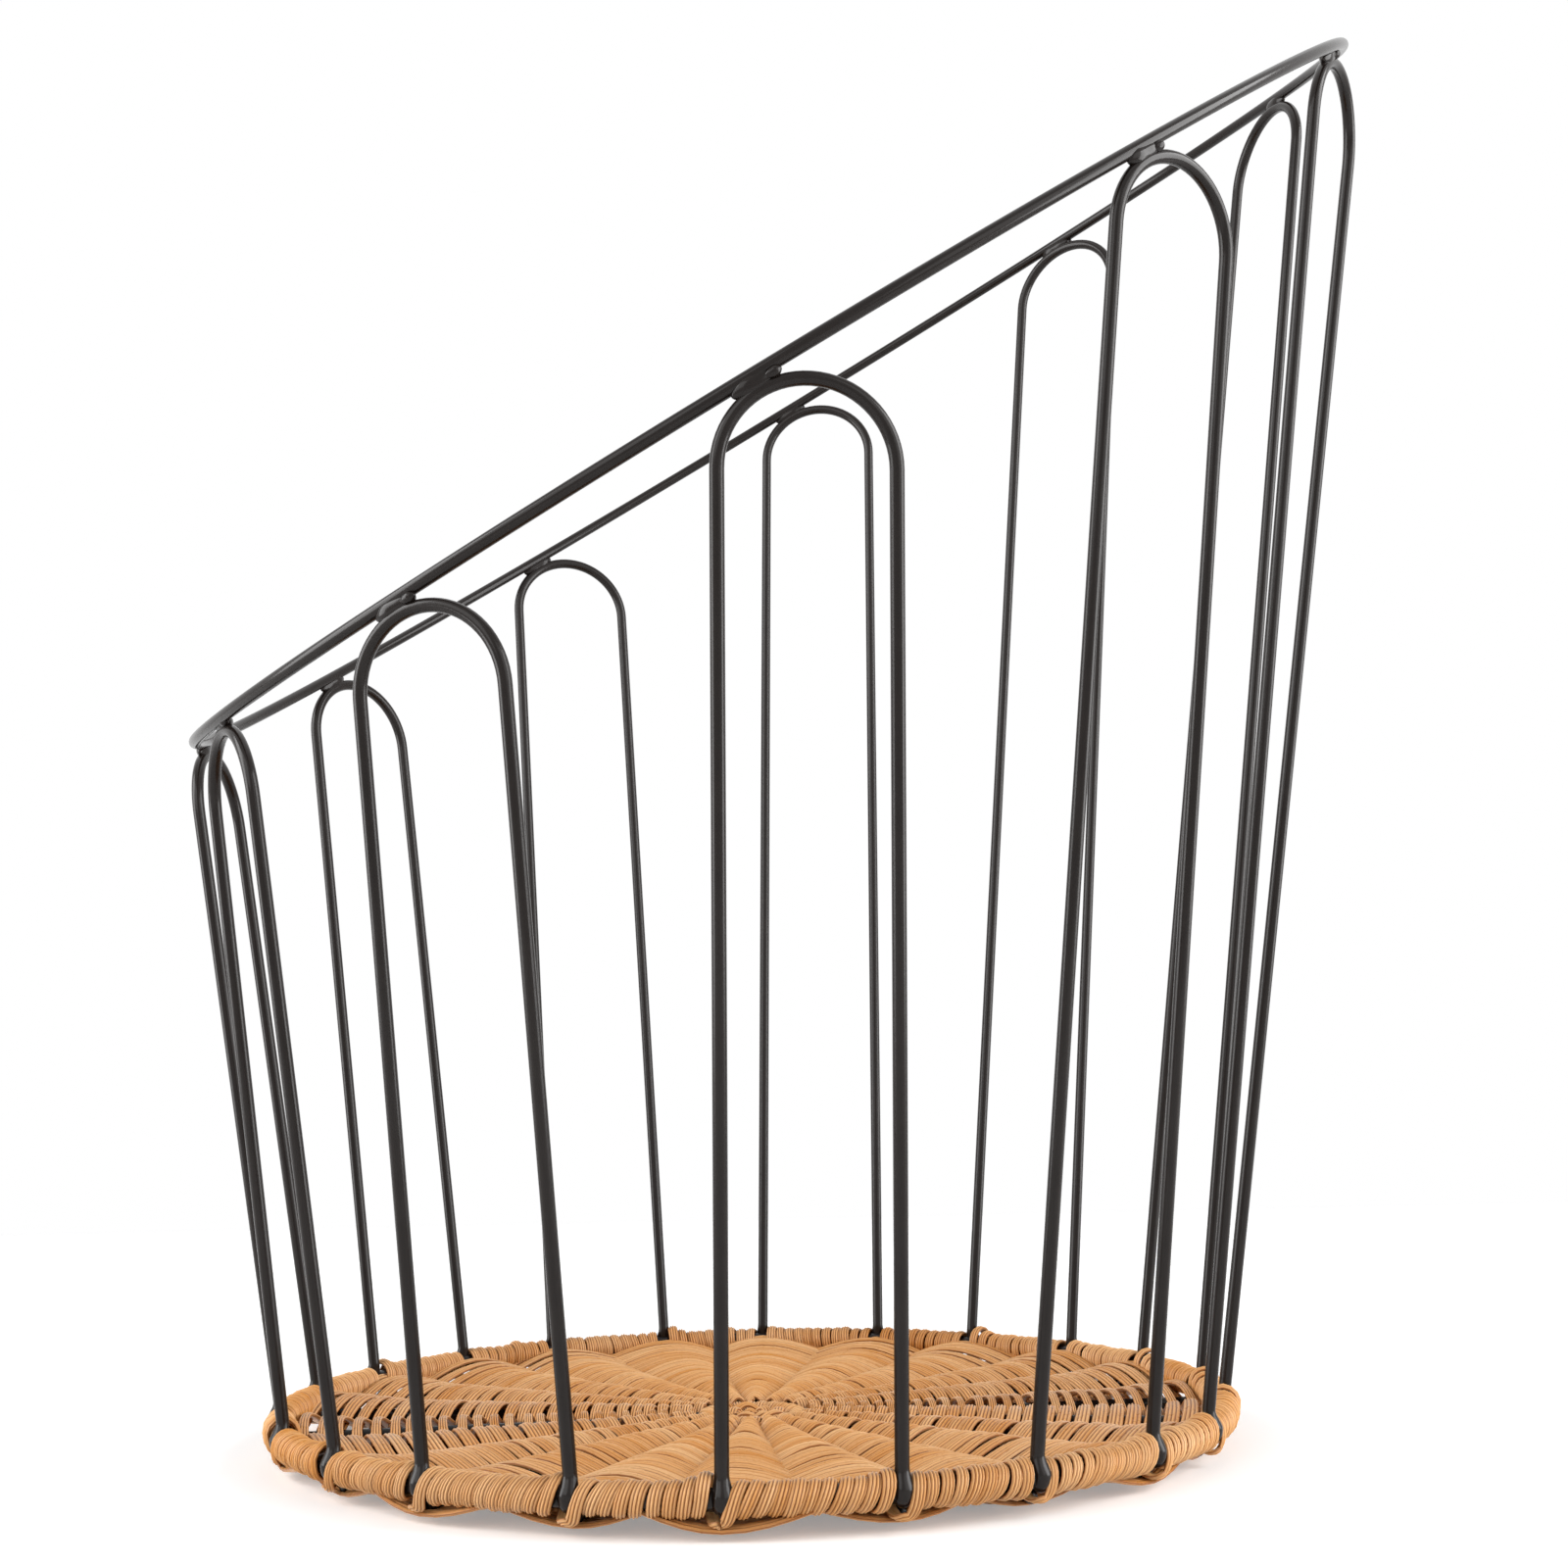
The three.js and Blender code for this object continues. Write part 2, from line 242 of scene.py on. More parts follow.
def round_section(sides: int) -> Array:
    """Unit circle as (sides, 2), (cos t, sin t)."""
    turn = np.linspace(0.0, 2.0 * np.pi, sides, endpoint=False)
    return np.stack([np.cos(turn), np.sin(turn)], -1)


def sweep(
    path: Array, across: Array, up: Array, section: Array, scale: Array | float = 1.0
) -> Array:
    """Carries a section along a path: P + s (a A + b U) for each section point (a, b).

    Args:
        path: Centre points as (n, 3).
        across: First axis of the section at each point; across x up follows the travel.
        up: Second axis of the section at each point.
        section: Section points as (m, 2), or (n, m, 2) where it changes along the path.
        scale: Size of the section at each point.

    Returns:
        Grid of points as (n, m, 3).
    """
    size = np.broadcast_to(np.asarray(scale, float), path.shape[:1])[:, None, None]
    flat = np.broadcast_to(section, (len(path), *section.shape[-2:]))
    return path[:, None] + size * (flat[..., :1] * across[:, None] + flat[..., 1:] * up[:, None])


class NodeGraph:
    """Thin layer over the nodes of a material or a world that keeps the node code short."""

    noise_span: tuple[float, float] = (0.3, 0.7)

    def __init__(
        self, owner: bpy.types.Material | bpy.types.World, shader: str = "Principled BSDF"
    ) -> None:
        """Turns the owner's nodes on and finds its shader.

        Args:
            owner: New material or world.
            shader: Name of the shader node that it starts with.
        """
        owner.use_nodes = True
        self.owner = owner
        self.tree = owner.node_tree
        self.shader = self.tree.nodes[shader]

    def node(
        self, kind: str, inputs: dict[str | int, object], **settings: object
    ) -> bpy.types.Node:
        """Adds a node, sets its properties and fills or links its inputs.

        Args:
            kind: Blender's node type.
            inputs: Socket name or number to a value, or to the socket that feeds it.
            settings: Properties of the node.

        Returns:
            The new node.
        """
        node = self.tree.nodes.new(kind)
        for key, value in settings.items():
            setattr(node, key, value)
        self.feed(node, inputs)
        return node

    def feed(self, node: bpy.types.Node, inputs: dict[str | int, object]) -> None:
        """Fills or links inputs of a node.

        Args:
            node: The node.
            inputs: Socket name or number to a value, or to the socket that feeds it.
        """
        for key, value in inputs.items():
            if isinstance(value, bpy.types.NodeSocket):
                self.tree.links.new(value, node.inputs[key])
            else:
                node.inputs[key].default_value = value

    def math(self, operation: str, first: object, second: object) -> bpy.types.NodeSocket:
        """Result of a Math node."""
        return self.node("ShaderNodeMath", {0: first, 1: second}, operation=operation).outputs[0]

    def blend(self, factor: object, first: object, second: object) -> bpy.types.NodeSocket:
        """Colour mixed from first to second by a factor."""
        inputs = {"Factor": factor, 6: first, 7: second}
        return self.node("ShaderNodeMix", inputs, data_type="RGBA").outputs[2]

    def attribute(self, name: str) -> bpy.types.NodeSocket:
        """Float attribute of the mesh."""
        return self.node("ShaderNodeAttribute", {}, attribute_name=name).outputs["Fac"]

    def noise(self, vector: object, scale: float, detail: float) -> bpy.types.NodeSocket:
        """Noise value about 0.5 on a coordinate."""
        inputs = {"Vector": vector, "Scale": scale, "Detail": detail}
        return self.node("ShaderNodeTexNoise", inputs).outputs["Fac"]

    def ramp(
        self, value: object, start: tuple[float, float], end: tuple[float, float]
    ) -> bpy.types.NodeSocket:
        """Value carried from the span start onto the span end, and held beyond it.

        Args:
            value: The value, or the socket that gives it.
            start: Lowest and highest value read.
            end: What these two become.

        Returns:
            The result's socket.
        """
        inputs = {"Value": value, "From Min": start[0], "From Max": start[1]}
        inputs |= {"To Min": end[0], "To Max": end[1]}
        return self.node("ShaderNodeMapRange", inputs).outputs["Result"]

    def spread(self, value: object, low: float, high: float) -> bpy.types.NodeSocket:
        """Noise value stretched from its usual span onto low to high."""
        return self.ramp(value, self.noise_span, (low, high))

    def place(self) -> bpy.types.NodeSocket:
        """Object coordinates."""
        return self.node("ShaderNodeTexCoord", {}).outputs["Object"]

    def seen(self) -> bpy.types.NodeSocket:
        """1 for camera, glossy and transmission rays and 0 for those that light the object.

        Returns:
            The result's socket.
        """
        rays = self.node("ShaderNodeLightPath", {}).outputs
        direct = self.math("MAXIMUM", rays["Is Camera Ray"], rays["Is Glossy Ray"])
        return self.math("MAXIMUM", direct, rays["Is Transmission Ray"])


@dataclass(frozen=True)
class CoatFinish:
    """Satin black powder coat on wire."""

    colour: Colour = (0.0098, 0.0068, 0.0057, 1.0)
    worn: Colour = (0.0130, 0.0096, 0.0083, 1.0)
    mottle_scale: float = 160.0
    gloss_low: float = 0.18
    gloss_high: float = 0.20
    gloss_scale: float = 420.0
    reflection: float = 0.22
    peel_scale: float = 1500.0
    peel_strength: float = 0.012
    peel_height: float = 0.0002

    def material(self) -> bpy.types.Material:
        """Builds the coat: faint mottling, uneven gloss and a fine orange-peel bump.

        Returns:
            The material.
        """
        graph = NodeGraph(bpy.data.materials.new("black_coat"))
        place = graph.place()
        mottle = graph.spread(graph.noise(place, self.mottle_scale, detail=4.0), 0.0, 1.0)
        gloss = graph.noise(place, self.gloss_scale, detail=3.0)
        peel = graph.noise(place, self.peel_scale, detail=2.0)
        bump = {"Height": peel, "Strength": self.peel_strength, "Distance": self.peel_height}
        surface = {
            "Base Color": graph.blend(mottle, self.colour, self.worn),
            "Roughness": graph.spread(gloss, self.gloss_low, self.gloss_high),
            "Specular IOR Level": self.reflection,
            "Normal": graph.node("ShaderNodeBump", bump).outputs["Normal"],
        }
        graph.feed(graph.shader, surface)
        return graph.owner


@dataclass(frozen=True)
class StripFinish:
    """Ribbed honey-brown plastic strip."""

    light: Colour = (0.85, 0.515, 0.245, 1.0)
    deep: Colour = (0.63, 0.262, 0.050, 1.0)
    # Painted shade: the dark colour laid into the grooves between ribs and at the strip's edges.
    painted_shade: Colour = (0.20, 0.045, 0.004, 1.0)
    streak_scale: tuple[float, float, float] = (60.0, 9.0, 1.0)
    streak_tone: float = 0.28
    streak_strength: float = 0.25
    streak_height: float = 0.0001
    gloss_low: float = 0.24
    gloss_high: float = 0.38
    gloss_scale: float = 700.0
    reflection: float = 0.19

    def material(self) -> bpy.types.Material:
        """Builds the strip: tone, fine streaks and painted shade in rib grooves and at edges.

        Returns:
            The material.
        """
        graph = NodeGraph(bpy.data.materials.new("honey_strip"))
        run, lane = graph.attribute("run"), graph.attribute("lane")
        fibre = graph.node("ShaderNodeCombineXYZ", {"X": run, "Y": lane}).outputs["Vector"]
        drawn = graph.node("ShaderNodeMapping", {"Vector": fibre, "Scale": self.streak_scale})
        streak = graph.noise(drawn.outputs["Vector"], scale=1.0, detail=3.0)
        change = graph.spread(streak, -self.streak_tone, self.streak_tone)
        tone = graph.math("ADD", graph.attribute("tone"), change)
        face = graph.blend(graph.math("MAXIMUM", tone, 0.0), self.light, self.deep)
        gloss = graph.noise(graph.place(), self.gloss_scale, detail=2.0)
        bump = {"Height": streak, "Strength": self.streak_strength, "Distance": self.streak_height}
        surface = {
            # Painted shade: the face colour is darkened towards the shade colour in grooves and at
            # edges.
            "Base Color": graph.blend(graph.attribute("painted_shade"), face, self.painted_shade),
            "Roughness": graph.spread(gloss, self.gloss_low, self.gloss_high),
            "Specular IOR Level": self.reflection,
            "Normal": graph.node("ShaderNodeBump", bump).outputs["Normal"],
        }
        graph.feed(graph.shader, surface)
        return graph.owner


@dataclass(frozen=True)
class BasketSizes:
    """Sizes shared by the pieces, in millimetres and degrees, as the CAD source has them."""

    arch_count: int = 11
    first_arch_azimuth: float = -83.6
    arch_lean: float = 8.1
    bow_radius: float = 15.4
    wire_radius: float = 1.3
    seat_gap: float = 0.3
    mouth_height: float = 227.35
    mouth_slope: float = 33.6
    mouth_azimuth: float = 25.3
    ring_radius: float = 100.0
    ring_wire_radius: float = 2.0
    hub_radius: float = 10.0
    spoke_end_inset: float = 1.0
    spoke_height: float = 3.25
    ring_height: float = 6.85

    @property
    def foot_radius(self) -> float:
        """Distance of an arch's mid plane from the axis at the ring's height."""
        return math.sqrt(self.ring_radius**2 - self.bow_radius**2)

    @property
    def arch_azimuths(self) -> Array:
        """Azimuth of each arch, evenly spread."""
        first = math.radians(self.first_arch_azimuth)
        return first + np.arange(self.arch_count) * 2.0 * np.pi / self.arch_count

    @property
    def leg_azimuths(self) -> Array:
        """Azimuth of each leg, two for each arch, rising round the base."""
        half = math.asin(self.bow_radius / self.ring_radius)
        return (self.arch_azimuths[:, None] + np.array([-half, half])).ravel()

    @property
    def mouth_normal(self) -> Array:
        """Upward unit normal of the mouth plane, (-s cos a, -s sin a, 1) at slope s."""
        slope = math.tan(math.radians(self.mouth_slope))
        return unit(UP - slope * outward(np.radians(self.mouth_azimuth)))

    def mouth_distance(self, points: Array) -> Array:
        """Signed distance of points above the mouth plane."""
        return (points - UP * self.mouth_height) @ self.mouth_normal

    def mouth_points(self, azimuth: Array) -> Array:
        """Top ring's centre line: the leaning cone of the arches cut by the mouth plane.

        Args:
            azimuth: Azimuth of each point.

        Returns:
            Points as (n, 3).
        """
        rise = outward(azimuth) * math.tan(math.radians(self.arch_lean)) + UP
        foot = outward(azimuth) * self.foot_radius + UP * self.ring_height
        reach = -self.mouth_distance(foot) / (rise @ self.mouth_normal)
        return foot + rise * reach[:, None]


@dataclass(frozen=True)
class Bend:
    """How one arch is off the rest, in degrees: more lean, and a twist of its legs to the bow."""

    lean: float = 0.0
    twist: float = 0.0


@dataclass
class WireCage:
    """Hairpin arches on swollen feet and the oval ring welded along their tops.

    Bends are given by the number of the arch, from 0, and the rest of the arches have none.
    """

    sizes: BasketSizes
    sides: int = 20
    leg_steps: int = 14
    bow_steps: int = 36
    ring_steps: int = 240
    foot_radius: float = 1.95
    foot_top: float = 4.2
    foot_low: float = 0.5
    foot_depth: float = 2.6
    foot_kick: float = 1.1
    foot_closing: float = 0.999
    foot_steps: int = 26
    bead_size: tuple[float, float, float] = (9.4, 1.8, 1.4)
    bead_steps: int = 22
    bead_sides: int = 18
    bead_end: float = 0.06
    bead_seed: int = 40
    lump_size: float = 0.08
    lump_count: float = 3.0
    lump_start: float = 6.0
    ripple_size: float = 0.03
    ripple_count: float = 7.0
    drop_size: tuple[float, float, float] = (3.4, 1.0, 1.0)
    drop_place: tuple[float, float] = (3.5, 0.7)
    drop_seed: int = 60
    bends: dict[int, Bend] = field(
        default_factory=lambda: {2: Bend(0.0, -10.5), 8: Bend(0.65, 0.0), 9: Bend(-0.50, -3.0)}
    )

    def arch(self, index: int) -> MeshBuilder:
        """One hairpin: legs P0 +- R t + l u and bow P0 + R cos(w) t + (L + R sin(w)) u.

        The wire swells towards each foot, which stands a little outward and closes in a round end
        over the rim rod, and a bead of weld joins the bow to the top ring. A few arches are bent by
        hand: they lean a little more or less, and t turns about the upright towards the bow.

        Args:
            index: Number of the arch.

        Returns:
            The collected mesh.
        """
        sizes = self.sizes
        bend = self.bends.get(index, Bend())
        azimuth = sizes.arch_azimuths[index]
        twist = math.radians(bend.twist)
        lean = math.radians(sizes.arch_lean) + math.radians(bend.lean)
        across = along(azimuth + twist)
        up = outward(azimuth) * math.sin(lean) + UP * math.cos(lean)
        foot = outward(azimuth) * sizes.foot_radius + UP * sizes.ring_height
        fall = np.array([sizes.mouth_normal @ across, sizes.mouth_normal @ up])
        tilt = np.hypot(*fall)
        reach = sizes.bow_radius + 2.0 * sizes.wire_radius + sizes.seat_gap
        length = (-sizes.mouth_distance(foot) - reach * tilt) / fall[1]

        ease = 1.0 - np.cos(np.linspace(0.0, np.pi / 2.0, self.foot_steps))
        swollen = -self.foot_depth + (self.foot_top + self.foot_depth) * ease
        leg = np.append(swollen, np.linspace(self.foot_top, length, self.leg_steps)[1:])
        turn = np.linspace(0.0, np.pi, self.bow_steps)[1:-1]
        side = np.concatenate([np.ones_like(leg), np.cos(turn), -np.ones_like(leg)])
        height = np.concatenate([leg, length + sizes.bow_radius * np.sin(turn), leg[::-1]])
        swung = along(azimuth + twist * np.clip(height / length, 0.0, 1.0))
        path = foot + (side * sizes.bow_radius)[:, None] * swung + height[:, None] * up
        inward = np.concatenate([np.zeros_like(leg), turn, np.full_like(leg, np.pi)])
        normal = np.cos(inward)[:, None] * swung + np.sin(inward)[:, None] * up
        face = unit(np.cross(swung, up))
        swell = 1.0 - smooth_step(self.foot_low, self.foot_top, height)
        path = path + self.foot_kick * swell[:, None] * outward(azimuth)
        radius = sizes.wire_radius + (self.foot_radius - sizes.wire_radius) * swell
        sunk = np.minimum(height, 0.0) / self.foot_depth
        radius = radius * np.sqrt(1.0 - sunk**2 * self.foot_closing)
        builder = MeshBuilder()
        builder.add_grid(sweep(path, normal, -face, round_section(self.sides), radius))

        contact = fall / tilt * (sizes.bow_radius + sizes.wire_radius + sizes.seat_gap / 2.0)
        centre = foot + contact[0] * across + (length + contact[1]) * up
        front = np.cross(across, up)
        axis = unit(np.cross(sizes.mouth_normal, front))
        rise = unit(np.cross(front, axis))
        builder.add_grid(self.bead(centre, axis, rise, self.bead_size, self.bead_seed + index))
        uphill = axis * math.copysign(self.drop_place[0], axis[2])
        drop = centre + uphill + front * self.drop_place[1]
        builder.add_grid(self.bead(drop, axis, rise, self.drop_size, self.drop_seed + index))
        return builder

    def bead(
        self, centre: Array, axis: Array, up: Array, size: tuple[float, float, float], seed: int
    ) -> Array:
        """Weld bead: an ellipsoid L cos(v), B sin(v), C sin(v), with soft lumps along it.

        Args:
            centre: Middle of the bead.
            axis: Direction along the weld.
            up: Direction towards the top ring.
            size: Length of the bead, and its half height and half depth.
            seed: Choice of the lumps.

        Returns:
            Grid of points.
        """
        start = np.random.default_rng(seed).uniform(0.0, self.lump_start)
        length, height, depth = size
        level = np.linspace(self.bead_end, np.pi - self.bead_end, self.bead_steps)
        path = centre - np.cos(level)[:, None] * axis * length / 2.0
        lumps = 1.0 + self.lump_size * np.sin(self.lump_count * level + start)
        lumps = lumps + self.ripple_size * np.sin(self.ripple_count * level)
        side = np.broadcast_to(np.cross(up, axis), path.shape)
        section = round_section(self.bead_sides) * np.array([depth, height])
        return sweep(path, side, np.broadcast_to(up, path.shape), section, np.sin(level) * lumps)

    def top_ring(self) -> MeshBuilder:
        """Closed wire round the mouth: a circle carried along the ellipse of the cut cone.

        Returns:
            The collected mesh.
        """
        azimuth = np.linspace(0.0, 2.0 * np.pi, self.ring_steps, endpoint=False)
        path = self.sizes.mouth_points(azimuth)
        tangent = unit(np.roll(path, -1, 0) - np.roll(path, 1, 0))
        normal = np.broadcast_to(self.sizes.mouth_normal, path.shape)
        side = np.cross(normal, tangent)
        wire = sweep(path, side, normal, round_section(self.sides), self.sizes.wire_radius)
        builder = MeshBuilder()
        builder.add_grid(wire, joined=True)
        return builder

    def dress(self, coat: bpy.types.Material) -> None:
        """Builds the arches and the ring and gives them their coat.

        Args:
            coat: Finish of the wire.
        """
        for index in range(self.sizes.arch_count):
            name = f"arch_{index + 1:02d}"
            settle(self.arch(index).build(f"{name}_wire"), coat, Slot.COAT, name)
        settle(self.top_ring().build("top_ring_wire"), coat, Slot.COAT, "top_ring")


@dataclass
class BaseFrame:
    """Rim rod, hub ring and the spokes between them."""

    sizes: BasketSizes
    sides: int = 16
    ring_steps: int = 264
    spoke_steps: int = 24
    end_length: float = 0.25
    end_share: float = 0.75

    def ring(self, radius: float, wire: float, height: float) -> MeshBuilder:
        """Closed ring of wire: a circle carried round a circle.

        Args:
            radius: Radius of the ring's centre line.
            wire: Radius of the wire.
            height: Height of the centre line.

        Returns:
            The collected mesh.
        """
        azimuth = np.linspace(0.0, 2.0 * np.pi, self.ring_steps, endpoint=False)
        path = outward(azimuth) * radius + UP * height
        up = np.broadcast_to(UP, path.shape)
        builder = MeshBuilder()
        rod = sweep(path, -outward(azimuth), up, round_section(self.sides), wire)
        builder.add_grid(rod, joined=True)
        return builder

    def spoke(self, azimuth: float) -> MeshBuilder:
        """Straight wire, rounded by E + (1 - E) sqrt(1 - (1 - d)^2) at distance d from its ends.

        Args:
            azimuth: Azimuth of the spoke.

        Returns:
            The collected mesh.
        """
        sizes = self.sizes
        start = sizes.hub_radius + sizes.wire_radius + sizes.seat_gap
        end = sizes.ring_radius - sizes.spoke_end_inset
        ease = 0.5 - 0.5 * np.cos(np.linspace(0.0, np.pi, self.spoke_steps))
        distance = start + (end - start) * ease
        near = np.clip(np.minimum(distance - start, end - distance) / self.end_length, 0.0, 1.0)
        swell = self.end_share + (1.0 - self.end_share) * np.sqrt(1.0 - (1.0 - near) ** 2)
        way = np.full_like(distance, azimuth)
        path = outward(way) * distance[:, None] + UP * sizes.spoke_height
        up = np.broadcast_to(UP, path.shape)
        section = round_section(self.sides)
        builder = MeshBuilder()
        builder.add_grid(sweep(path, along(way), up, section, sizes.wire_radius * swell))
        return builder

    def dress(self, coat: bpy.types.Material) -> None:
        """Builds the rod, the hub and the spokes and gives them their coat.

        Args:
            coat: Finish of the wire.
        """
        sizes = self.sizes
        rod = self.ring(sizes.ring_radius, sizes.ring_wire_radius, sizes.ring_height)
        settle(rod.build("base_ring_rod"), coat, Slot.COAT, "base_ring")
        hub = self.ring(sizes.hub_radius, sizes.wire_radius, sizes.spoke_height)
        settle(hub.build("hub_ring_wire"), coat, Slot.COAT, "hub_ring")
        for index, azimuth in enumerate(sizes.leg_azimuths):
            name = f"spoke_{index + 1:02d}"
            settle(self.spoke(float(azimuth)).build(f"{name}_wire"), coat, Slot.COAT, name)


@dataclass
class Strip:
    """Section of the ribbed strip and what its finish needs along it."""

    width: float = 2.65
    thickness: float = 1.0
    ribs: int = 4
    rib_depth: float = 0.38
    rib_stations: tuple[float, ...] = (0.0, 0.2, 0.5, 0.8)
    crown: float = 0.22
    edge_thinning: float = 0.62
    # Strengths of the painted shade in the grooves between ribs and at the edges.
    rib_shade: float = 0.95
    edge_shade: float = 0.78

    def section(self) -> tuple[Array, Array, Array]:
        """Closed section with ribs above and below.

        The face lies at T/2 - D (1 - |sin(N pi v)|) - C (2v - 1)^2 across v from 0 to 1, drawn in
        at both edges by (2v - 1)^6. The under side has one point in the middle of each rib. The
        painted shade value is 1 - |sin(N pi v)| times the rib shade, and darker at the edges, for
        the shade that falls in the grooves and between strips.

        Returns:
            Section points as (m, 2), the painted shade value and the lane across of each.
        """
        rib_starts = np.arange(self.ribs)[:, None]
        rising = np.append((rib_starts + np.array(self.rib_stations)).ravel(), self.ribs)
        top = rising[::-1] / self.ribs
        under = (np.arange(self.ribs) + 0.5) / self.ribs
        lane = np.concatenate([top, under])
        face = np.concatenate([np.ones_like(top), -np.ones_like(under)])
        rib = np.abs(np.sin(self.ribs * np.pi * lane))
        edge = (2.0 * lane - 1.0) ** 6
        height = (self.thickness / 2.0) * (1.0 - self.edge_thinning * edge)
        height = height - self.rib_depth * (1.0 - rib) * (1.0 - edge)
        height = height - self.crown * (2.0 * lane - 1.0) ** 2 * (face > 0.0)
        points = np.stack([(lane - 0.5) * self.width, face * height], -1)
        # Painted shade: a darker value in the rib grooves and at the edges, where shade falls.
        return points, np.maximum(self.rib_shade * (1.0 - rib), self.edge_shade * edge), lane

    def skin(
        self,
        builder: MeshBuilder,
        path: Array,
        facing: Array,
        roll: Array,
        tone: Array,
        spread: Array | float = 1.0,
    ) -> None:
        """Carries the section along a path and records run, lane, painted groove shade and tone.

        The section's normal is the facing direction made square to the travel, turned by roll.

        Args:
            builder: Mesh that takes the skin.
            path: Centre points as (n, 3).
            facing: Rough direction of the strip's outer face at each point.
            roll: Turn about the travel at each point, in radians.
            tone: Tone of the finish at each point, 0 pale to 1 deep.
            spread: Share of the full width at each point.
        """
        outline, painted_shade, lane = self.section()
        width = np.broadcast_to(np.asarray(spread, float), path.shape[:1])
        section = outline * np.stack([width, np.ones_like(width)], -1)[:, None]
        travel = unit(np.gradient(path, axis=0))
        normal = unit(facing - (facing * travel).sum(-1, keepdims=True) * travel)
        side = np.cross(normal, travel)
        cos, sin = np.cos(roll)[:, None], np.sin(roll)[:, None]
        grid = sweep(path, side * cos + normal * sin, normal * cos - side * sin, section)
        step = np.linalg.norm(np.diff(path, axis=0), axis=-1)
        run = np.concatenate([[0.0], np.cumsum(step)]) * MM
        # The painted shade of the grooves and edges is stored with run, lane and tone.
        values = {"run": run[:, None], "lane": lane, "painted_shade": painted_shade, "tone": tone[:, None]}
        shape = grid.shape[:2]
        spans = {name: np.broadcast_to(value, shape) for name, value in values.items()}
        builder.add_grid(grid, values=spans)


@dataclass
class WovenBase:
    """Two strips that spiral out from the hub, each over every second spoke."""

    sizes: BasketSizes
    strip: Strip = field(default_factory=Strip)
    row_pitch: float = 1.65
    pitch_growth: float = 0.19
    inner_radius: float = 12.6
    outer_radius: float = 100.2
    steps_per_crossing: int = 8
    inner_swing: float = 2.2
    outer_swing: float = 3.08
    swing_slack: float = 0.18
    slack_onset: float = 0.25
    rise: float = 0.35
    rim_lift: float = 1.35
    rim_lift_start: float = 80.0
    row_shift: Wandering = Wandering(0.36)
    row_drift: Wandering = Wandering(0.30, 5.0)
    crest_roll: float = 2.0
    roll_change: Wandering = Wandering(9.0)
    tone: Tone = Tone(0.45, (Wandering(0.30, 9.0), Wandering(0.15, 2.0)))
    tight_width: float = 1.16
    open_width: float = 0.65
    open_azimuths: tuple[float, ...] = (187.0, 2.0)
    open_reach: float = 11.0
    first_seed: int = 7

    def tightness(self, azimuth: Array) -> Array:
        """Share of the strip's width: full, but narrow by exp(-(a / A)^2) near the open spokes.

        Args:
            azimuth: Azimuth of each point.

        Returns:
            Share at each point.
        """
        away = azimuth[:, None] - np.radians(self.open_azimuths)
        away = np.degrees(np.arctan2(np.sin(away), np.cos(away)))
        slack = bell(away, self.open_reach).max(-1)
        return self.tight_width + (self.open_width - self.tight_width) * slack

    def spiral(self, start_turn: float, parity: int) -> MeshBuilder:
        """One weaving strip: r = R0 + L u (1 - g (1 - u)), z = H + h + S cos(pi q) at crossing q.

        The rows lie closer near the hub, and the strip is narrower there by the same share.

        Args:
            start_turn: Azimuth where the strip starts, as a share of a turn.
            parity: 0 if the strip passes over the even spokes, 1 for the odd ones.

        Returns:
            The collected mesh.
        """
        rng = np.random.default_rng(self.first_seed + parity)
        legs = self.sizes.leg_azimuths
        count = len(legs)
        span = self.outer_radius - self.inner_radius
        first = round(start_turn * count)
        crossings = int(span / (2.0 * self.row_pitch) * count)
        crossings -= (first + crossings - parity) % 2
        place = np.arange(crossings * self.steps_per_crossing + 1) / self.steps_per_crossing
        number = first + place
        mark = np.arange(first + crossings + count)
        azimuth = np.interp(number, mark, legs[mark % count] + mark // count * 2.0 * np.pi)
        wound = (azimuth - azimuth[0]) / (azimuth[-1] - azimuth[0])
        reach = self.row_pitch * (azimuth[-1] - azimuth[0]) / np.pi
        radius = self.inner_radius + reach * wound * (1.0 - self.pitch_growth * (1.0 - wound))
        local_pitch = 1.0 - self.pitch_growth * (1.0 - 2.0 * wound)
        share = (radius - self.inner_radius) / span
        swing = self.inner_swing + (self.outer_swing - self.inner_swing) * np.clip(share, 0.0, 1.0)
        onset = np.clip(share / self.slack_onset, 0.0, 1.0)
        swing = swing - self.swing_slack * (1.0 + wander(rng, place)) * onset
        lift = self.rim_lift * smooth_step(self.rim_lift_start, self.outer_radius, radius)
        radius = radius + self.row_shift.at(rng, place) + self.row_drift.at(rng, place)
        wave = np.cos(np.pi * (number - parity))
        path = outward(azimuth) * radius[:, None]
        path[:, 2] = self.sizes.spoke_height + self.rise + swing * wave + lift
        roll = -np.radians(self.crest_roll * wave + self.roll_change.at(rng, place))
        tone = self.tone.at(rng, place)
        facing = np.broadcast_to(UP, path.shape)
        width = self.tightness(azimuth) * local_pitch
        builder = MeshBuilder()
        self.strip.skin(builder, path, facing, roll, tone, width)
        return builder

    def dress(self, finish: bpy.types.Material) -> None:
        """Builds both strips and gives them their finish.

        Args:
            finish: Finish of the strip.
        """
        for label, start, parity in (("a", 0.0, 0), ("b", 0.5, 1)):
            piece = self.spiral(start, parity).build(f"weave_{label}")
            settle(piece, finish, Slot.STRIP, f"weave_strip_{label}")


